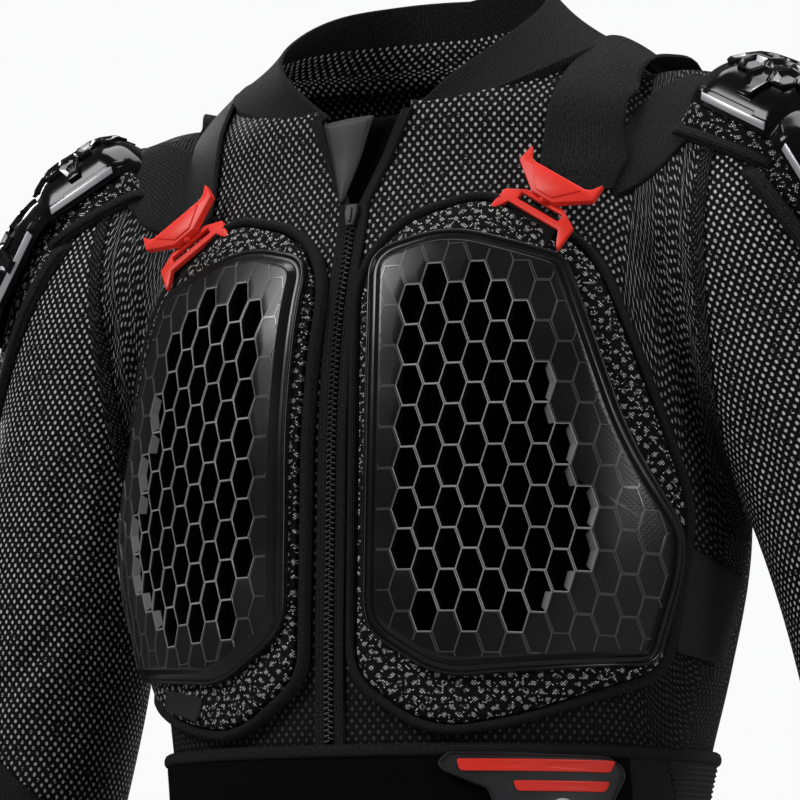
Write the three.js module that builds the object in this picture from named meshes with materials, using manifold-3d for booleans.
// Protective racing jacket: a long-sleeved mesh jacket with two honeycomb chest plates on
// foam pads, shoulder cups and upper-arm shells, elastic shoulder straps held by hook
// buckles, a stand-up collar, a centre zip and a wide kidney belt.
//
// Millimetres. The origin is the middle of the neck base, +X is the wearer's left,
// the chest faces -Y and +Z is up. Left-hand pieces are modelled and mirrored.

import * as THREE from 'three';
import { mergeVertices } from 'three/addons/utils/BufferGeometryUtils.js';
import Module from 'manifold-3d';

const wasm = await Module();
wasm.setup();
const { Manifold, Mesh } = wasm;

// Driving sizes of the garment
const TORSO = { drop: 565, halfWidth: 214, front: 118, back: 160, around: 16 };
const SLEEVE = { drop: 665, reach: 334, halfAcross: 80, halfDeep: 72, setBack: 50, around: 10 };
const NECK = { halfWidth: 134, halfDepth: 96, centre: 15, lean: 27, thickness: 3.5, seam: 6 };
const COLLAR = { halfWidth: 95, halfDepth: 95.7, centre: 22.5, height: 56, opening: 20, steps: 12 };
const CLOTH = 2.5;
const GAP = 0.3;
const SIDE_SEAM = 24;
const ARMHOLE = { out: TORSO.halfWidth + 7, level: -60, lean: 2 };
const OPEN_FRONT = { halfWidth: 34, top: -22, bottom: -84, slot: 7 };
const CUFF = { height: 40, thickness: 3 };

// Layers stacked on the cloth, from its outer face outwards
const PAD = 7;
const PIPING = { rise: 8.2, width: 6.5 };
const PLATE = 9;
const WEBBING = 2.1;

// Each row is one level of the torso. Level is a share of the torso's drop below the neck
// base, halfWidth, front and back are shares of the torso's sizes, and side is where the
// widest point lies, as a share of the back.
const TORSO_SECTIONS = [
  { level: 1.045, halfWidth: 0.800, front: 0.983, side: 0.215, back: 0.975, squareness: 2.25 },
  { level: 0.770, halfWidth: 0.822, front: 1.000, side: 0.26, back: 0.988, squareness: 2.25 },
  { level: 0.655, halfWidth: 0.895, front: 1.008, side: 0.33, back: 0.990, squareness: 2.25 },
  { level: 0.470, halfWidth: 0.986, front: 0.994, side: 0.26, back: 0.990, squareness: 2.25 },
  { level: 0.270, halfWidth: 0.964, front: 0.903, side: 0.2, back: 0.970, squareness: 2.2 },
  { level: 0.186, halfWidth: 0.949, front: 0.788, side: 0.2, back: 0.918, squareness: 2.15 },
  { level: 0.100, halfWidth: 0.893, front: 0.701, side: 0.225, back: 0.842, squareness: 2.03 },
  { level: 0.021, halfWidth: 0.804, front: 0.661, side: 0.262, back: 0.762, squareness: 2 },
  { level: -0.045, halfWidth: 0.690, front: 0.450, side: 0.281, back: 0.680, squareness: 2 },
  { level: -0.100, halfWidth: 0.450, front: 0.120, side: 0.281, back: 0.575, squareness: 2 },
];

// Each row is one level of the left sleeve. Out and setBack place its middle, across and
// deep are its half sizes, all as shares of the sleeve's sizes.
const SLEEVE_SECTIONS = [
  { level: 1.060, out: 1.012, setBack: 0.00, across: 0.46, deep: 0.54 },
  { level: 0.782, out: 0.964, setBack: 0.72, across: 0.65, deep: 0.75 },
  { level: 0.617, out: 0.928, setBack: 1.00, across: 0.73, deep: 0.85 },
  { level: 0.450, out: 0.874, setBack: 0.84, across: 0.85, deep: 0.94 },
  { level: 0.280, out: 0.765, setBack: 0.54, across: 0.97, deep: 1.00 },
  { level: 0.130, out: 0.667, setBack: 0.30, across: 0.99, deep: 0.87 },
  { level: 0.060, out: 0.640, setBack: 0.36, across: 0.85, deep: 0.62 },
  { level: 0.012, out: 0.596, setBack: 0.42, across: 0.60, deep: 0.40 },
  { level: -0.012, out: 0.520, setBack: 0.48, across: 0.28, deep: 0.22 },
];

// Heights of the collar's seam and top edge round the neck, as shares of its height.
// Turn is 0 at the front and 1 at the back.
const COLLAR_EDGES = [
  { turn: 0.00, seam: 0.09, top: 0.10 },
  { turn: 0.11, seam: 0.18, top: 0.26 },
  { turn: 0.20, seam: 0.30, top: 0.52 },
  { turn: 0.33, seam: 0.43, top: 0.75 },
  { turn: 0.50, seam: 0.46, top: 0.92 },
  { turn: 0.67, seam: 0.34, top: 1.00 },
  { turn: 0.83, seam: 0.18, top: 0.94 },
  { turn: 1.00, seam: 0.09, top: 0.85 },
];

const ZIP = { inner: 3.6, outer: 1.6, thickness: 1.3, teeth: 3.1, teethRise: 2, slider: [4.5, 15, 3] };

// Chest pads and plates, in a chart that faces half way to the side of the chest
const CHEST = { turn: 25, plateWidth: 189, plateHeight: 281, middle: 65.5, level: -248.5 };
const PLATE_OUTLINE = [
  { across: -0.47, up: 0.45, round: 18 },
  { across: -0.21, up: 0.50, round: 22 },
  { across: 0.16, up: 0.42, round: 10 },
  { across: 0.21, up: 0.31, round: 14 },
  { across: 0.34, up: 0.02, round: 60 },
  { across: 0.51, up: -0.17, round: 12 },
  { across: 0.50, up: -0.26, round: 12 },
  { across: 0.41, up: -0.46, round: 12 },
  { across: -0.25, up: -0.50, round: 18 },
  { across: -0.49, up: -0.39, round: 18 },
];
const COMB_OUTLINE = [
  { across: -0.38, up: 0.41, round: 8 },
  { across: -0.04, up: 0.43, round: 8 },
  { across: 0.07, up: 0.30, round: 20 },
  { across: 0.25, up: -0.11, round: 8 },
  { across: 0.26, up: -0.22, round: 8 },
  { across: 0.12, up: -0.40, round: 10 },
  { across: -0.28, up: -0.42, round: 10 },
  { across: -0.42, up: -0.27, round: 8 },
];
const PAD_OUTLINE = [
  { across: -0.54, up: 0.40, round: 30 },
  { across: -0.40, up: 0.54, round: 30 },
  { across: -0.09, up: 0.60, round: 20 },
  { across: 0.27, up: 0.45, round: 24 },
  { across: 0.42, up: 0.18, round: 50 },
  { across: 0.57, up: -0.12, round: 22 },
  { across: 0.47, up: -0.49, round: 20 },
  { across: 0.00, up: -0.60, round: 40 },
  { across: -0.29, up: -0.63, round: 30 },
  { across: -0.55, up: -0.50, round: 20 },
];
// Directions of the flats that the plate's faces are made of
const PLATE_FLATS = [
  { turn: 10, tilt: -2 }, { turn: 30, tilt: -2 }, { turn: 52, tilt: -3 },
  { turn: 12, tilt: 13 }, { turn: 34, tilt: 11 },
];
const COMB = { across: 12.6, up: 25, wall: 1.6, top: 4.35, middle: 8.4, lean: 2 };

// Buckles. The frame's u runs along the strap's lower edge and its v up the strap.
const BUCKLE = {
  out: 0.6355 * TORSO.halfWidth,
  front: 0.627 * TORSO.front,
  level: -80,
  halfWidth: 29,
  plate: 5.5,
  hook: 4,
};
const BUCKLE_PLATE = [
  { u: 0.98, v: 0.38 }, { u: 0.83, v: 0.15 }, { u: 0.71, v: 0.09 }, { u: -0.71, v: 0.09 },
  { u: -0.83, v: 0.15 }, { u: -0.98, v: 0.38 }, { u: -1.02, v: -0.05 }, { u: -0.29, v: -0.54 },
  { u: 0.29, v: -0.54 }, { u: 1.02, v: -0.05 },
];
const BUCKLE_HOOK = [
  { u: 0.50, v: -0.48 }, { u: -0.50, v: -0.48 }, { u: -0.95, v: -0.72 }, { u: -0.98, v: -1.34 },
  { u: -0.86, v: -1.22 }, { u: -0.69, v: -0.93 }, { u: 0.69, v: -0.93 }, { u: 0.86, v: -1.22 },
  { u: 0.98, v: -1.34 }, { u: 0.95, v: -0.72 },
];
const BUCKLE_SLOT = { halfWidth: 0.56, top: -0.60, bottom: -0.77 };
const BUCKLE_TAB = { halfWidth: 0.62, top: -1.0, bottom: -1.55, thickness: 1.6 };

// Straps, as outlines seen from the front, and where they end on the back. Out is a share
// of the torso's half width.
const STRAP = { width: 50, backEnd: -150 };
const NECK_STRAP = [
  { out: 0.5467, level: -58 }, { out: 0.7383, level: -84 }, { out: 0.7757, level: -60 },
  { out: 0.757, level: -20 }, { out: 0.8037, level: 4 }, { out: 0.8318, level: 40 },
  { out: 0.6121, level: 60 }, { out: 0.6028, level: 20 }, { out: 0.5654, level: -18 },
];
const SIDE_STRAP = [
  { out: 0.7617, level: -83 }, { out: 0.8879, level: -66 }, { out: 0.9907, level: -47 },
  { out: 1.0374, level: -38 }, { out: 1.0374, level: -8 }, { out: 0.9533, level: 4 },
  { out: 0.8692, level: -9 }, { out: 0.7757, level: -24 }, { out: 0.7103, level: -60 },
];

// Shoulder cups and upper-arm shells. The outline's corners are shares of half the width
// and of the length, from the front edge back. Each section is one level of the dome.
const CUP = { halfWidth: 50, length: 108, rise: 40, wall: 2.6, frontSkirt: 5, backSkirt: 22 };
const ARM_SHELL = { halfWidth: 60, length: 100, rise: 26, wall: 2.6, frontSkirt: 5, backSkirt: 26 };
const DOME_OUTLINE = [
  { across: 0.56, along: 0 }, { across: 0.93, along: 0.14 }, { across: 1, along: 0.48 },
  { across: 0.86, along: 0.84 }, { across: 0.42, along: 1 },
];
const DOME_SECTIONS = [
  { rise: 0.16, front: 0.00, back: 0.99, half: 0.97 },
  { rise: 0.55, front: 0.07, back: 0.92, half: 0.86 },
  { rise: 0.90, front: 0.25, back: 0.73, half: 0.56 },
  { rise: 1.00, front: 0.40, back: 0.58, half: 0.24 },
];
const CUP_PLACE = {
  origin: [0.717 * SLEEVE.reach, -38.5, -39],
  along: [0.86, -0.16, -0.49],
  facing: [0.5, -0.1, 0.86],
};
const ARM_PLACE = {
  origin: [0.8623 * SLEEVE.reach, -47, -90],
  along: [0.5, 0, -0.87],
  facing: [0.84, -0.25, 0.48],
};
const STRIP = { halfWidth: 26, height: 4.4, thickness: 1.6 };

// Guard pads: the part seen from the front, whose out is a share of the sleeve's reach, and
// a wrap over the shoulder or arm behind it
const GUARD_PAD = { thickness: 8, front: 6, back: 3, split: -63 };
const SHOULDER_APRON = [
  { out: 0.6168, level: -55 }, { out: 0.7365, level: -70 }, { out: 0.7844, level: -62.7 },
  { out: 1.018, level: -62.7 }, { out: 1.018, level: 40 }, { out: 0.6722, level: 40 },
  { out: 0.6722, level: -38.5 },
];
const SHOULDER_WRAP = [
  { across: -56, along: 42 }, { across: 90, along: 42 }, { across: 90, along: 104 },
  { across: 40, along: 120 }, { across: -30, along: 120 }, { across: -56, along: 96 },
];
const ARM_APRON = [
  { out: 0.7455, level: -79 }, { out: 0.7695, level: -68 }, { out: 0.7964, level: -63 },
  { out: 1.1377, level: -63 }, { out: 1.1377, level: -190 }, { out: 0.988, level: -200 },
  { out: 0.9072, level: -190 },
];
const ARM_WRAP = [
  { across: -90, along: 50 }, { across: 82, along: 50 }, { across: 82, along: 96 },
  { across: 40, along: 116 }, { across: -90, along: 116 },
];

// Kidney belt
const BELT = {
  top: -427,
  thickness: 5,
  binding: 8,
  bindingRise: 6.4,
  frontHalf: 0.766 * TORSO.halfWidth,
  tape: 12,
  back: 0.6 * TORSO.back,
};
const BADGE = {
  turn: 22.3,
  middle: 0.327 * TORSO.halfWidth,
  level: -440,
  width: 106,
  height: 46,
  thickness: 3.6,
};
const BADGE_OUTLINE = [
  { across: -0.45, up: -0.06 }, { across: -0.40, up: 0.10 }, { across: 0.46, up: 0.03 },
  { across: 0.54, up: -0.06 }, { across: 0.56, up: -0.19 }, { across: 0.42, up: -0.92 },
  { across: -0.10, up: -0.92 }, { across: -0.17, up: -0.40 }, { across: -0.42, up: -0.16 },
];
const BADGE_BARS = [
  { left: -0.30, right: 0.46, top: -0.09, bottom: -0.20 },
  { left: -0.02, right: 0.42, top: -0.30, bottom: -0.41 },
];
const BADGE_DISC = { across: 0.22, up: -0.66, radius: 7, thickness: 1.2 };

// Elbow bands and side labels
const ELBOW_BAND = { out: 300, level: -440, width: 38, lean: 42 };
const LABELS = {
  turn: 27,
  thickness: 1.1,
  left: [[168, -306], [207, -318], [190, -374], [157, -369]],
  right: [[-153, -387], [-128, -395], [-130, -410], [-153, -399]],
};

const radians = THREE.MathUtils.degToRad;

// Solids

// Six times the volume that a closed geometry holds, negative if its faces point inwards.
function signedVolume(geometry) {
  const { position } = geometry.attributes;
  const corner = [0, 1, 2].map(() => new THREE.Vector3());
  let sum = 0;
  for (let face = 0; face < geometry.index.count; face += 3) {
    corner.forEach((point, side) => point.fromBufferAttribute(position, geometry.index.getX(face + side)));
    sum += corner[0].dot(corner[1].cross(corner[2]));
  }
  return sum;
}

// A closed geometry as a solid that can be joined and cut.
function solidOf(geometry) {
  const bare = geometry.clone();
  bare.deleteAttribute('normal');
  bare.deleteAttribute('uv');
  const merged = mergeVertices(bare, 1e-4);
  const triVerts = new Uint32Array(merged.index.array);
  if (signedVolume(merged) < 0) triVerts.reverse();
  return new Manifold(new Mesh({
    numProp: 3,
    vertProperties: new Float32Array(merged.attributes.position.array),
    triVerts,
  }));
}

function geometryOf(solid) {
  const { vertProperties, triVerts } = solid.getMesh();
  const geometry = new THREE.BufferGeometry();
  geometry.setAttribute('position', new THREE.BufferAttribute(new Float32Array(vertProperties), 3));
  geometry.setIndex(new THREE.BufferAttribute(new Uint32Array(triVerts), 1));
  return geometry;
}

// A box between two corners.
function block(low, high) {
  const size = high.map((value, axis) => value - low[axis]);
  const middle = high.map((value, axis) => (value + low[axis]) / 2);
  return solidOf(new THREE.BoxGeometry(...size).translate(...middle));
}

function middleOf(ring) {
  return ring.reduce((sum, point) => sum.add(point), new THREE.Vector3()).divideScalar(ring.length);
}

// A stack of rings with the same number of points, closed at both ends. The diagonals of
// its faces turn the other way where turned says so, to keep a symmetrical form symmetrical.
// The end faces meet at the point that capMiddle gives.
function stackGeometry(rings, turned = () => false, capMiddle = middleOf) {
  const count = rings[0].length;
  const points = rings.flat();
  const faces = [];
  for (let level = 0; level < rings.length - 1; level += 1) {
    for (let step = 0; step < count; step += 1) {
      const next = (step + 1) % count;
      const low = level * count;
      const high = low + count;
      if (turned(step, level)) {
        faces.push(low + step, low + next, high + step, low + next, high + next, high + step);
      } else {
        faces.push(low + step, low + next, high + next, low + step, high + next, high + step);
      }
    }
  }
  const capped = [[0, false], [(rings.length - 1) * count, true]];
  for (const [first, upwards] of capped) {
    const ring = points.slice(first, first + count);
    const centre = points.push(capMiddle(ring)) - 1;
    for (let step = 0; step < count; step += 1) {
      const next = (step + 1) % count;
      const [second, third] = upwards ? [step, next] : [next, step];
      faces.push(centre, first + second, first + third);
    }
  }
  const geometry = new THREE.BufferGeometry().setFromPoints(points);
  geometry.setIndex(faces);
  return geometry;
}

// A closed geometry grown outwards along its normals, or shrunk by a negative distance.
function grown(geometry, distance) {
  const result = geometry.clone();
  result.computeVertexNormals();
  const { position, normal } = result.attributes;
  for (let index = 0; index < position.count; index += 1) {
    position.setXYZ(
      index,
      position.getX(index) + normal.getX(index) * distance,
      position.getY(index) + normal.getY(index) * distance,
      position.getZ(index) + normal.getZ(index) * distance,
    );
  }
  return result;
}

function points(pairs) {
  return pairs.map(([x, y]) => new THREE.Vector2(x, y));
}

// Signed power, for superellipses.
function bulge(value, power) {
  return Math.sign(value) * Math.abs(value) ** power;
}

// The garment's body

// How far a ring's corners stand out, so that its flats lie as far inside the true curve.
function facetSwell(around) {
  return 2 / (1 + Math.cos(Math.PI / around));
}

function torsoRing(section) {
  const ring = [];
  const front = section.front * TORSO.front;
  const back = section.back * TORSO.back;
  const side = section.side * TORSO.back;
  const swell = facetSwell(TORSO.around);
  for (let step = 0; step < TORSO.around; step += 1) {
    const angle = ((step + 0.5) / TORSO.around) * 2 * Math.PI;
    const depth = bulge(Math.sin(angle), 2 / section.squareness);
    ring.push(new THREE.Vector3(
      section.halfWidth * TORSO.halfWidth * swell * bulge(Math.cos(angle), 2 / section.squareness),
      side + depth * swell * (depth > 0 ? back - side : front + side),
      -section.level * TORSO.drop,
    ));
  }
  return ring;
}

function sleeveRing(section) {
  const ring = [];
  const swell = facetSwell(SLEEVE.around);
  for (let step = 0; step < SLEEVE.around; step += 1) {
    const angle = (step / SLEEVE.around) * 2 * Math.PI;
    ring.push(new THREE.Vector3(
      section.out * SLEEVE.reach + section.across * SLEEVE.halfAcross * swell * Math.cos(angle),
      section.setBack * SLEEVE.setBack + section.deep * SLEEVE.halfDeep * swell * Math.sin(angle),
      -section.level * SLEEVE.drop,
    ));
  }
  return ring;
}

const onTheRight = (step) => {
  const next = step + 1;
  return next > TORSO.around / 4 && next <= (TORSO.around * 3) / 4;
};
const torsoForm = stackGeometry(TORSO_SECTIONS.map(torsoRing), onTheRight);
const sleeveForm = stackGeometry(SLEEVE_SECTIONS.map(sleeveRing));

function torsoAt(distance) {
  return solidOf(grown(torsoForm, distance));
}

function sleeveAt(distance) {
  return solidOf(grown(sleeveForm, distance));
}

// The torso with the left sleeve, grown by a distance.
function leftBodyAt(distance) {
  return torsoAt(distance).add(sleeveAt(distance));
}

function torsoLayer(low, high) {
  return torsoAt(high).subtract(torsoAt(low));
}

function leftBodyLayer(low, high) {
  return leftBodyAt(high).subtract(leftBodyAt(low));
}

// Charts: flat drawings laid over the body and pushed into it

// A frame with u across, v up and its third axis facing out of the body.
function frameAt(origin, u, facing) {
  const out = new THREE.Vector3(...facing).normalize();
  const across = new THREE.Vector3(...u);
  across.addScaledVector(out, -across.dot(out)).normalize();
  const up = new THREE.Vector3().crossVectors(out, across);
  return new THREE.Matrix4().makeBasis(across, up, out).setPosition(...origin);
}

// The frame of a drawing seen from the front, turned towards the wearer's left by degrees.
function frontFrame(turn) {
  const angle = radians(turn);
  return frameAt([0, 0, 0], [Math.cos(angle), Math.sin(angle), 0], [Math.sin(angle), -Math.cos(angle), 0]);
}

// A closed outline pushed from one depth to another in a frame.
function prism(outline, frame, low, high) {
  return prisms([outline], frame, low, high);
}

// Several outlines that lie apart, pushed as one.
function prisms(outlines, frame, low, high) {
  const shapes = outlines.map((outline) => new THREE.Shape(outline));
  const geometry = new THREE.ExtrudeGeometry(shapes, { depth: high - low, bevelEnabled: false });
  return solidOf(geometry.translate(0, 0, low).applyMatrix4(frame));
}

// Corners with their own radii, as a list of points.
function rounded(corners, steps = 1) {
  const points = [];
  corners.forEach((corner, index) => {
    const before = corners[(index + corners.length - 1) % corners.length].point;
    const after = corners[(index + 1) % corners.length].point;
    const { point, round } = corner;
    const reach = Math.min(round, point.distanceTo(before) * 0.45, point.distanceTo(after) * 0.45);
    const start = point.clone().lerp(before, reach / point.distanceTo(before));
    const end = point.clone().lerp(after, reach / point.distanceTo(after));
    const curve = new THREE.QuadraticBezierCurve(start, point, end);
    points.push(...curve.getPoints(steps));
  });
  return points;
}

// An outline of shares in the chest chart, moved outwards by a margin.
function chestOutline(table, margin = 0) {
  const corners = table.map((row) => ({
    point: new THREE.Vector2(
      CHEST.middle + row.across * CHEST.plateWidth,
      CHEST.level + row.up * CHEST.plateHeight,
    ),
    round: row.round,
  }));
  return offsetOutline(rounded(corners), margin);
}

// A closed clockwise or counterclockwise outline moved outwards by a margin.
function offsetOutline(points, margin) {
  if (margin === 0) return points;
  const turnSign = THREE.ShapeUtils.isClockWise(points) ? -1 : 1;
  return points.map((point, index) => {
    const before = points[(index + points.length - 1) % points.length];
    const after = points[(index + 1) % points.length];
    const along = after.clone().sub(before).normalize();
    const outwards = new THREE.Vector2(along.y, -along.x).multiplyScalar(turnSign * margin);
    return point.clone().add(outwards);
  });
}

const FAR = Math.ceil(SLEEVE.reach * 1.2);
const chestFrame = frontFrame(CHEST.turn);
const seenFromFront = frontFrame(0);
const unturned = new THREE.Matrix4();

// A torso layer laid into a frame, where a drawing's walls run straight along one axis.
function torsoLayerIn(frame, low, high) {
  const inwards = frame.clone().invert();
  const solidAt = (distance) => solidOf(grown(torsoForm, distance).applyMatrix4(inwards));
  return solidAt(high).subtract(solidAt(low));
}

// A solid made in a frame, put in its place.
function placed(solid, frame) {
  return solidOf(geometryOf(solid).applyMatrix4(frame));
}

// The part of a torso layer that an outline covers.
function layerPiece(outline, frame, low, high) {
  return placed(prism(outline, unturned, 0, FAR).intersect(torsoLayerIn(frame, low, high)), frame);
}

// The panels

function neckFrame() {
  const lean = radians(NECK.lean);
  return frameAt([0, 0, 0], [1, 0, 0], [0, -Math.sin(lean), Math.cos(lean)]);
}

// The collar's turns round the neck in degrees, from one front end to the other.
function collarTurns() {
  const { opening, steps } = COLLAR;
  return Array.from({ length: steps + 1 }, (_, step) => opening + (step / steps) * (360 - 2 * opening));
}

// The hole that the collar stands in, wider than the collar by a margin.
function neckHole(margin) {
  const outline = collarTurns().map(radians).map((angle) => new THREE.Vector2(
    (NECK.halfWidth + margin) * Math.sin(angle),
    NECK.centre - (NECK.halfDepth + margin) * Math.cos(angle),
  ));
  return prism(outline, neckFrame(), -NECK.seam * 2, NECK.halfWidth);
}

// The opening of the front above the closed zip, and the slot behind the zip down to the belt.
function frontOpening() {
  const { halfWidth, top, bottom, slot } = OPEN_FRONT;
  return prism(points([
    [-slot, BELT.top], [slot, BELT.top], [slot, bottom], [halfWidth, top],
    [halfWidth, -top], [-halfWidth, -top], [-halfWidth, top], [-slot, bottom],
  ]), seenFromFront, 0, FAR);
}

// Everything outside the armhole seam, beyond a margin.
function outsideArmhole(margin) {
  const lean = radians(ARMHOLE.lean);
  const frame = frameAt(
    [ARMHOLE.out, 0, ARMHOLE.level],
    [0, 1, 0],
    [Math.cos(lean), 0, -Math.sin(lean)],
  );
  const half = TORSO.drop * 2;
  const outline = [[-half, -half], [half, -half], [half, half], [-half, half]];
  return prism(outline.map(([u, v]) => new THREE.Vector2(u, v)), frame, margin, FAR);
}

function bodyShell() {
  return leftBodyAt(0).subtract(leftBodyAt(-CLOTH));
}

function leftSleeve() {
  const below = block([0, -FAR, -SLEEVE.drop * 2], [FAR * 2, FAR, -SLEEVE.drop + CUFF.height]);
  return bodyShell().intersect(outsideArmhole(GAP / 2)).subtract(below);
}

function leftCuff() {
  const ring = sleeveAt(CUFF.thickness - CLOTH).subtract(sleeveAt(-CLOTH));
  const low = -SLEEVE.drop;
  return ring.intersect(block([0, -FAR, low], [FAR * 2, FAR, low + CUFF.height - GAP]));
}

// The left half of the torso's cloth, from the middle to the armhole seam.
function torsoHalf() {
  return bodyShell()
    .intersect(block([0, -FAR, -TORSO.drop], [FAR, FAR, FAR]))
    .subtract(outsideArmhole(-GAP / 2))
    .subtract(neckHole(0));
}

function frontPanel() {
  const front = block([GAP, -FAR, -TORSO.drop * 2], [FAR, SIDE_SEAM - GAP / 2, FAR]);
  return torsoHalf().intersect(front).subtract(frontOpening());
}

function backPanel() {
  const behind = block([-FAR, SIDE_SEAM + GAP / 2, -TORSO.drop * 2], [FAR, FAR, FAR]);
  const half = geometryOf(torsoHalf().intersect(behind));
  return solidOf(half.clone()).add(solidOf(half.scale(-1, 1, 1)));
}

// A value from a table's column, between the rows that hold a place.
function between(table, key, column, place) {
  const last = table.findIndex((row) => row[key] >= place);
  if (last <= 0) return table[Math.max(last, 0)][column];
  const [low, high] = [table[last - 1], table[last]];
  const share = (place - low[key]) / (high[key] - low[key]);
  return THREE.MathUtils.lerp(low[column], high[column], share);
}

// The band that stands in the neck hole and leans in to its top edge.
function collar() {
  const { halfWidth, halfDepth, centre, height } = COLLAR;
  const seamBand = { halfWidth: NECK.halfWidth - GAP, halfDepth: NECK.halfDepth - GAP, centre: NECK.centre };
  const topBand = { halfWidth, halfDepth, centre };
  const spot = (band, inset, angle, up) => new THREE.Vector3(
    (band.halfWidth - inset) * Math.sin(angle),
    band.centre - (band.halfDepth - inset) * Math.cos(angle),
    up,
  );
  const rings = collarTurns().map((degrees) => {
    const turn = 1 - Math.abs(1 - degrees / 180);
    const angle = radians(degrees);
    const seam = between(COLLAR_EDGES, 'turn', 'seam', turn) * height;
    const top = between(COLLAR_EDGES, 'turn', 'top', turn) * height;
    return [
      spot(seamBand, 0, angle, seam - NECK.seam),
      spot(seamBand, 0, angle, seam),
      spot(topBand, 0, angle, top),
      spot(topBand, NECK.thickness, angle, top),
      spot(seamBand, NECK.thickness, angle, seam),
      spot(seamBand, NECK.thickness, angle, seam - NECK.seam),
    ];
  });
  const bend = (ring) => middleOf([ring[1], ring[4]]);
  // The inner face's diagonals lie behind the outer face's, and the right half mirrors the left.
  const turned = (step, level) => (step === 3 || step === 4) !== (level >= COLLAR.steps / 2);
  return solidOf(stackGeometry(rings, turned, bend).applyMatrix4(neckFrame()));
}

// The zip

// The left tape, beside the closed teeth and up the edge of the open front.
function zipTape() {
  const { halfWidth, top, bottom, slot } = OPEN_FRONT;
  const outline = points([
    [slot - ZIP.inner, BELT.top + GAP],
    [slot + ZIP.outer, BELT.top + GAP],
    [slot + ZIP.outer, bottom],
    [halfWidth + ZIP.outer, top],
    [halfWidth - ZIP.inner, top],
    [slot - ZIP.inner, bottom],
  ]);
  return prism(outline, seenFromFront, 0, FAR)
    .intersect(torsoLayer(GAP, GAP + ZIP.thickness))
    .subtract(neckHole(GAP))
    .subtract(prism(chestOutline(PAD_OUTLINE, GAP), chestFrame, 0, FAR));
}

function zipTeeth() {
  const outline = points([
    [-ZIP.teeth, BELT.top + GAP], [ZIP.teeth, BELT.top + GAP],
    [ZIP.teeth, OPEN_FRONT.bottom], [-ZIP.teeth, OPEN_FRONT.bottom],
  ]);
  return prism(outline, seenFromFront, 0, FAR).intersect(torsoLayer(-ZIP.thickness, ZIP.teethRise));
}

function zipSlider() {
  const [half, length, thickness] = ZIP.slider;
  const { bottom } = OPEN_FRONT;
  const outline = points([
    [-half * 0.6, bottom - length], [half * 0.6, bottom - length], [half, bottom], [-half, bottom],
  ]);
  const low = ZIP.teethRise + GAP;
  return prism(outline, seenFromFront, 0, FAR).intersect(torsoLayer(low, low + thickness));
}

// The plain guard behind the open top of the zip.
function zipGuard() {
  const { halfWidth, top, bottom } = OPEN_FRONT;
  const outline = points([
    [-halfWidth, top - 4], [halfWidth * 0.3, top + 4], [0, bottom * 0.85], [-halfWidth * 0.4, bottom],
  ]);
  const depth = -CLOTH - GAP;
  return prism(outline, seenFromFront, 0, FAR)
    .intersect(torsoLayer(depth - ZIP.thickness, depth))
    .subtract(neckHole(GAP));
}

// Chest pads and plates

const PAD_TOP = GAP + PAD;
const PLATE_BASE = PAD_TOP + GAP;

function chestPad() {
  return layerPiece(chestOutline(PAD_OUTLINE, -PIPING.width - GAP), chestFrame, GAP, PAD_TOP);
}

function chestPiping() {
  const ring = prism(chestOutline(PAD_OUTLINE), unturned, 0, FAR)
    .subtract(prism(chestOutline(PAD_OUTLINE, -PIPING.width), unturned, -GAP, FAR + GAP));
  return placed(ring.intersect(torsoLayerIn(chestFrame, GAP, PIPING.rise)), chestFrame);
}

// Six corners of one comb cell, around its middle.
function combCell(middle) {
  const half = COMB.up / 2 - COMB.wall / 2;
  const top = COMB.top - COMB.wall / 3;
  const side = COMB.middle - COMB.wall * 0.6;
  const corners = points([[top, half], [side, 0], [top, -half], [-top, -half], [-side, 0], [-top, half]]);
  return corners.map((corner) => corner.add(middle));
}

function isInside(point, outline) {
  let inside = false;
  outline.forEach((start, index) => {
    const end = outline[(index + 1) % outline.length];
    const crosses = (start.y > point.y) !== (end.y > point.y);
    if (crosses && point.x < start.x + ((end.x - start.x) * (point.y - start.y)) / (end.y - start.y)) {
      inside = !inside;
    }
  });
  return inside;
}

// Every comb cell that lies whole in the plate's window.
function combCells() {
  const comb = chestOutline(COMB_OUTLINE);
  const lean = Math.tan(radians(COMB.lean));
  const cells = [];
  const columns = Math.ceil(CHEST.plateWidth / COMB.across / 2);
  const rows = Math.ceil(CHEST.plateHeight / COMB.up / 2) + 1;
  for (let column = -columns; column <= columns; column += 1) {
    for (let row = -rows; row <= rows; row += 1) {
      const up = (row + (column % 2 ? 0.5 : 0)) * COMB.up;
      const middle = new THREE.Vector2(CHEST.middle + column * COMB.across + up * lean, CHEST.level + up);
      const cell = combCell(middle);
      if (cell.every((corner) => isInside(corner, comb))) cells.push(cell);
    }
  }
  return cells;
}

// How far the torso reaches in a direction.
function torsoReach(direction) {
  const { position } = torsoForm.attributes;
  const corner = new THREE.Vector3();
  let reach = -Infinity;
  for (let index = 0; index < position.count; index += 1) {
    reach = Math.max(reach, corner.fromBufferAttribute(position, index).dot(direction));
  }
  return reach;
}

// The block of flats that stands a distance off the chest, in the chest's frame.
function chestBlock(distance) {
  const square = points([[-FAR * 2, -FAR * 2], [FAR * 2, -FAR * 2], [FAR * 2, FAR * 2], [-FAR * 2, FAR * 2]]);
  const halves = PLATE_FLATS.map(({ turn, tilt }) => {
    const facing = new THREE.Vector3(
      Math.sin(radians(turn)) * Math.cos(radians(tilt)),
      -Math.cos(radians(turn)) * Math.cos(radians(tilt)),
      Math.sin(radians(tilt)),
    );
    const across = [Math.cos(radians(turn)), Math.sin(radians(turn)), 0];
    const frame = chestFrame.clone().invert().multiply(frameAt([0, 0, 0], across, facing.toArray()));
    return prism(square, frame, -FAR * 2, torsoReach(facing) + distance);
  });
  return halves.reduce((sum, half) => sum.intersect(half));
}

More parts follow.
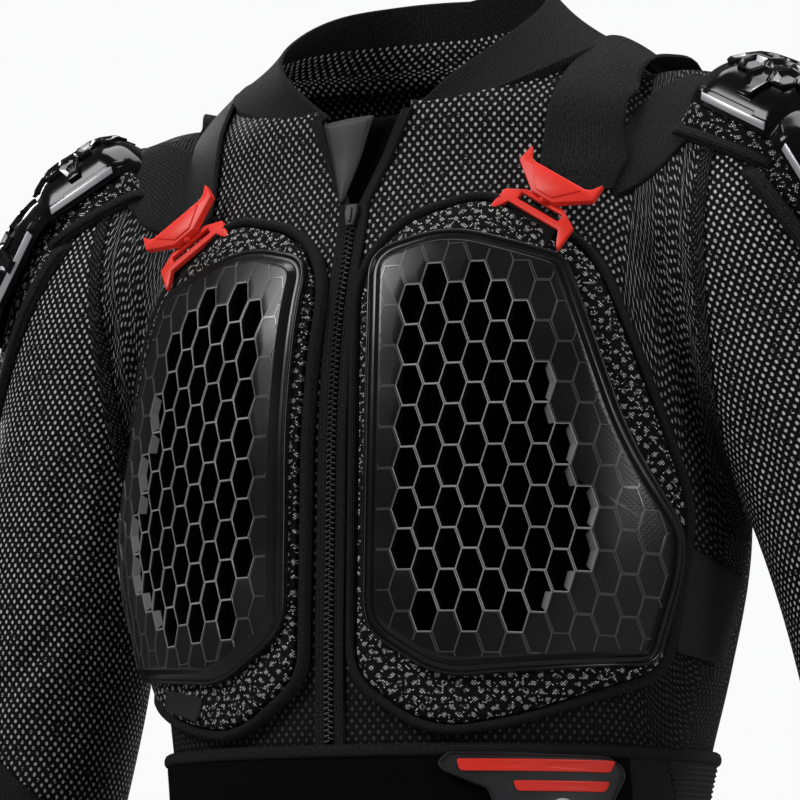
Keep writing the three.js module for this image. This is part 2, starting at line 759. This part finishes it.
function chestPlate() {
  const lip = prism(chestOutline(PLATE_OUTLINE), unturned, 0, FAR).intersect(chestBlock(PLATE_BASE + PLATE / 2));
  const face = prism(chestOutline(PLATE_OUTLINE, -PLATE), unturned, 0, FAR)
    .intersect(chestBlock(PLATE_BASE + PLATE));
  const plate = lip.add(face).subtract(chestBlock(PLATE_BASE)).subtract(prisms(combCells(), unturned, 0, FAR));
  return placed(plate, chestFrame);
}

// Buckles

const BUCKLE_FACING = [0.19, -0.936, 0.295];
const buckleFrame = frameAt([BUCKLE.out, -BUCKLE.front, BUCKLE.level], [0.841, 0, -0.542], BUCKLE_FACING);
const HOOK_BACK = -3.7;
const HOOK_FACE = HOOK_BACK + BUCKLE.hook;

function buckleOutline(table) {
  return table.map(({ u, v }) => new THREE.Vector2(u * BUCKLE.halfWidth, v * BUCKLE.halfWidth));
}

function bucklePlate() {
  const base = HOOK_FACE + GAP;
  return prism(buckleOutline(BUCKLE_PLATE), buckleFrame, base, base + BUCKLE.plate);
}

function buckleHook() {
  const { halfWidth, top, bottom } = BUCKLE_SLOT;
  const slot = buckleOutline([
    { u: -halfWidth, v: bottom }, { u: halfWidth, v: bottom },
    { u: halfWidth, v: top }, { u: -halfWidth, v: top },
  ]);
  return prism(buckleOutline(BUCKLE_HOOK), buckleFrame, HOOK_BACK, HOOK_FACE)
    .subtract(prism(slot, buckleFrame, -FAR, FAR))
    .subtract(torsoAt(PIPING.rise + GAP));
}

function buckleTab() {
  const { halfWidth, top, bottom, thickness } = BUCKLE_TAB;
  const outline = buckleOutline([
    { u: -halfWidth, v: bottom }, { u: halfWidth, v: bottom },
    { u: halfWidth, v: top }, { u: -halfWidth, v: top },
  ]);
  const low = PIPING.rise + GAP;
  return prism(outline, buckleFrame, -BUCKLE.halfWidth, BUCKLE.halfWidth)
    .intersect(torsoLayer(low, low + thickness))
    .subtract(prism(chestOutline(PLATE_OUTLINE, GAP), chestFrame, 0, FAR));
}

// Straps

function seenOutline(table, size, margin = 0) {
  return offsetOutline(table.map(({ out, level }) => new THREE.Vector2(out * size, level)), margin);
}

const SIDE_STRAP_TOP = GAP + WEBBING;
const NECK_STRAP_BASE = SIDE_STRAP_TOP + GAP;
const RIDGE = 40;

// The strap's footprint from front and back, wider by a margin.
function neckStrapFootprint(margin) {
  const front = prism(seenOutline(NECK_STRAP, TORSO.halfWidth, margin), seenFromFront, -RIDGE, FAR);
  const [outer, inner] = [NECK_STRAP[5], NECK_STRAP[6]].map(({ out }) => out * TORSO.halfWidth);
  const back = prism(points([
    [inner - margin, STRAP.backEnd - margin], [outer + margin, STRAP.backEnd - margin],
    [outer + margin, FAR], [inner - margin, FAR],
  ]), seenFromFront, -FAR, -RIDGE + 1);
  return front.add(back);
}

function neckStrap() {
  const buckle = prism(offsetOutline(buckleOutline(BUCKLE_PLATE), GAP), buckleFrame, -FAR, FAR);
  return neckStrapFootprint(0)
    .intersect(leftBodyLayer(NECK_STRAP_BASE, NECK_STRAP_BASE + WEBBING))
    .subtract(buckle)
    .subtract(neckHole(NECK.thickness));
}

function sideStrap() {
  const outline = seenOutline(SIDE_STRAP, TORSO.halfWidth);
  return prism(outline, seenFromFront, 0, FAR).intersect(leftBodyLayer(GAP, SIDE_STRAP_TOP));
}

// Shoulder and upper-arm guards

const GUARD_PAD_TOP = GAP + GUARD_PAD.thickness;

function placeFrame({ origin, along, facing }) {
  return frameAt(origin, along, facing);
}

// One ring of a dome, with its height from its place along the dome.
function domeRing(size, section, heightAt) {
  const otherHalf = DOME_OUTLINE.map(({ across, along }) => ({ across: -across, along })).reverse();
  return [...DOME_OUTLINE, ...otherHalf].map(({ across, along }) => new THREE.Vector3(
    across * section.half * size.halfWidth,
    THREE.MathUtils.lerp(section.front, section.back, along) * size.length,
    heightAt(along),
  ));
}

function domeGeometry(size) {
  const whole = { front: 0, back: 1, half: 1 };
  const skirt = domeRing(size, whole, (along) => -THREE.MathUtils.lerp(size.frontSkirt, size.backSkirt, along));
  const rings = DOME_SECTIONS.map((section) => domeRing(size, section, () => section.rise * size.rise));
  return stackGeometry([skirt, ...rings]);
}

function domeSolid(size, place, distance) {
  return solidOf(grown(domeGeometry(size), distance).applyMatrix4(placeFrame(place)));
}

// A hollow dome, open below and fitted to its pad.
function dome(size, place) {
  return domeSolid(size, place, 0)
    .subtract(domeSolid(size, place, -size.wall))
    .subtract(leftBodyAt(GUARD_PAD_TOP + GAP));
}

// The reflective bar along a dome's front edge.
function domeStrip(size, place) {
  const { halfWidth, height, thickness } = STRIP;
  const bar = new THREE.BoxGeometry(halfWidth * 2, thickness, height).translate(0, -GAP - thickness / 2, 0);
  return solidOf(bar.applyMatrix4(placeFrame(place)));
}

// A guard's pad, whose wrap keeps between two levels.
function guardPad(apron, wrap, place, low, high) {
  const front = prism(seenOutline(apron, SLEEVE.reach), seenFromFront, -GUARD_PAD.front, FAR);
  const corners = wrap.map(({ across, along }) => ({ point: new THREE.Vector2(across, along), round: 20 }));
  const over = prism(rounded(corners), placeFrame(place), -FAR / 4, FAR / 4);
  const behind = block([0, -GUARD_PAD.back, low], [FAR, FAR, high]);
  return front.add(over.intersect(behind)).intersect(leftBodyLayer(GAP, GUARD_PAD_TOP));
}

// Kidney belt

function beltRing(low, high, rise) {
  return torsoLayer(GAP, rise).intersect(block([-FAR, -FAR, low], [FAR, FAR, high]));
}

const BELT_FACE = GAP + BELT.thickness;
const beltBand = beltRing(-TORSO.drop, BELT.top - BELT.binding - GAP, BELT_FACE);

function beltFront() {
  const half = BELT.frontHalf;
  return beltBand.intersect(block([-half, -FAR, -FAR * 2], [half, SIDE_SEAM, 0]));
}

function beltTape() {
  const low = BELT.frontHalf + GAP;
  return beltBand.intersect(block([low, -FAR, -FAR * 2], [low + BELT.tape, SIDE_SEAM, 0]));
}

function beltElastic() {
  const low = BELT.frontHalf + BELT.tape + GAP * 2;
  return beltBand
    .intersect(block([low, -FAR, -FAR * 2], [FAR, SIDE_SEAM + 1, 0])
      .add(block([GAP, SIDE_SEAM + GAP, -FAR * 2], [FAR, BELT.back, 0])));
}

function beltBack() {
  return beltBand.intersect(block([-FAR, BELT.back + GAP, -FAR * 2], [FAR, FAR, 0]));
}

function badgeSpot({ across, up }) {
  return new THREE.Vector2(BADGE.middle + across * BADGE.width, BADGE.level + up * BADGE.height);
}

const badgeFrame = frontFrame(BADGE.turn);
const BADGE_BASE = BELT_FACE + GAP;
const BADGE_FACE = BADGE_BASE + BADGE.thickness;

function badge() {
  return layerPiece(BADGE_OUTLINE.map(badgeSpot), badgeFrame, BADGE_BASE, BADGE_FACE)
    .intersect(block([-FAR, -FAR, -FAR * 2], [FAR, FAR, BELT.top - BELT.binding - GAP * 2]));
}

function badgeBars() {
  const low = BADGE_FACE + GAP;
  return BADGE_BARS.map(({ left, right, top, bottom }) => {
    const corners = [
      { across: left, up: bottom }, { across: right, up: bottom },
      { across: right + 0.05, up: top }, { across: left + 0.05, up: top },
    ];
    return layerPiece(corners.map(badgeSpot), badgeFrame, low, low + BADGE_DISC.thickness);
  });
}

function badgeDisc() {
  const centre = badgeSpot(BADGE_DISC);
  const outline = new THREE.EllipseCurve(centre.x, centre.y, BADGE_DISC.radius, BADGE_DISC.radius)
    .getPoints(12).slice(0, -1);
  const low = BADGE_FACE + GAP;
  return layerPiece(outline, badgeFrame, low, low + BADGE_DISC.thickness);
}

// Elbow bands and labels

function elbowBand() {
  const lean = radians(ELBOW_BAND.lean);
  const frame = frameAt([ELBOW_BAND.out, 0, ELBOW_BAND.level], [0, 1, 0], [Math.sin(lean), 0, -Math.cos(lean)]);
  const slab = prism(points([[-FAR, -FAR], [FAR, -FAR], [FAR, FAR], [-FAR, FAR]]), frame, 0, ELBOW_BAND.width);
  const sleeveOnly = block([0, -FAR, -SLEEVE.drop + CUFF.height], [FAR * 2, FAR, -TORSO.drop / 2]);
  return sleeveAt(GAP + WEBBING).subtract(sleeveAt(GAP)).intersect(slab).intersect(sleeveOnly);
}

function label(corners, low) {
  return layerPiece(points(corners), frontFrame(LABELS.turn), low, low + LABELS.thickness);
}

// Finishes

function finish(color, roughness, metalness = 0) {
  return new THREE.MeshStandardMaterial({ color, roughness, metalness });
}

const FINISHES = {
  mesh: finish('#1b1b1d', 0.85),
  foam: finish('#2b2b2d', 0.8),
  piping: finish('#161617', 0.7),
  plastic: finish('#0f0f11', 0.28),
  red: finish('#f93d33', 0.35),
  webbing: finish('#1d1d1f', 0.75),
  reflective: finish('#d6d6d9', 0.3, 0.6),
  zip: finish('#141416', 0.5),
  velour: finish('#0b0b0c', 0.95),
  rubber: finish('#202023', 0.5),
  tag: finish('#111112', 0.6),
};

// Assembly

const jacket = new THREE.Group();

function addPiece(name, solid, material) {
  const mesh = new THREE.Mesh(geometryOf(solid), material);
  mesh.name = name;
  jacket.add(mesh);
}

// The same piece on the wearer's left and, mirrored, on the right.
function addPair(name, solid, material) {
  const geometry = geometryOf(solid);
  for (const [side, direction] of [['left', 1], ['right', -1]]) {
    const mesh = new THREE.Mesh(geometry, material);
    mesh.name = `${name}_${side}`;
    mesh.scale.x = direction;
    jacket.add(mesh);
  }
}

addPair('front_panel', frontPanel(), FINISHES.mesh);
addPiece('back_panel', backPanel(), FINISHES.mesh);
addPair('sleeve', leftSleeve(), FINISHES.mesh);
addPair('cuff', leftCuff(), FINISHES.webbing);
addPiece('collar', collar(), FINISHES.webbing);

addPair('zip_tape', zipTape(), FINISHES.zip);
addPiece('zip_teeth', zipTeeth(), FINISHES.zip);
addPiece('zip_slider', zipSlider(), FINISHES.zip);
addPiece('zip_guard', zipGuard(), FINISHES.webbing);

addPair('chest_pad', chestPad(), FINISHES.foam);
addPair('chest_piping', chestPiping(), FINISHES.piping);
addPair('chest_plate', chestPlate(), FINISHES.plastic);

addPair('buckle_plate', bucklePlate(), FINISHES.red);
addPair('buckle_hook', buckleHook(), FINISHES.red);
addPair('buckle_tab', buckleTab(), FINISHES.webbing);
addPair('neck_strap', neckStrap(), FINISHES.webbing);
addPair('side_strap', sideStrap(), FINISHES.webbing);

const cupSpace = domeSolid(CUP, CUP_PLACE, GAP);
const { split } = GUARD_PAD;
const shoulderPad = guardPad(SHOULDER_APRON, SHOULDER_WRAP, CUP_PLACE, split + GAP, FAR);
addPair('shoulder_pad', shoulderPad, FINISHES.foam);
addPair('shoulder_cup', dome(CUP, CUP_PLACE), FINISHES.plastic);
addPair('shoulder_strip', domeStrip(CUP, CUP_PLACE), FINISHES.reflective);
addPair('arm_pad', guardPad(ARM_APRON, ARM_WRAP, ARM_PLACE, -FAR, split), FINISHES.foam);
addPair('arm_shell', dome(ARM_SHELL, ARM_PLACE).subtract(cupSpace), FINISHES.plastic);
addPair('arm_strip', domeStrip(ARM_SHELL, ARM_PLACE).subtract(cupSpace), FINISHES.reflective);
addPair('elbow_band', elbowBand(), FINISHES.webbing);

addPiece('belt_front', beltFront(), FINISHES.velour);
addPair('belt_tape', beltTape(), FINISHES.webbing);
addPair('belt_elastic', beltElastic(), FINISHES.webbing);
addPiece('belt_back', beltBack(), FINISHES.velour);
addPiece('belt_binding', beltRing(BELT.top - BELT.binding, BELT.top, BELT.bindingRise), FINISHES.webbing);
addPiece('badge', badge(), FINISHES.rubber);
badgeBars().forEach((bar, index) => addPiece(`badge_bar_${index + 1}`, bar, FINISHES.red));
addPiece('badge_disc', badgeDisc(), FINISHES.reflective);

const besidePad = prism(chestOutline(PAD_OUTLINE, GAP), chestFrame, 0, FAR);
addPiece('label_left', label(LABELS.left, GAP).subtract(besidePad), FINISHES.tag);
addPiece('label_right', label(LABELS.right, PAD_TOP + GAP), FINISHES.tag);

export default jacket;
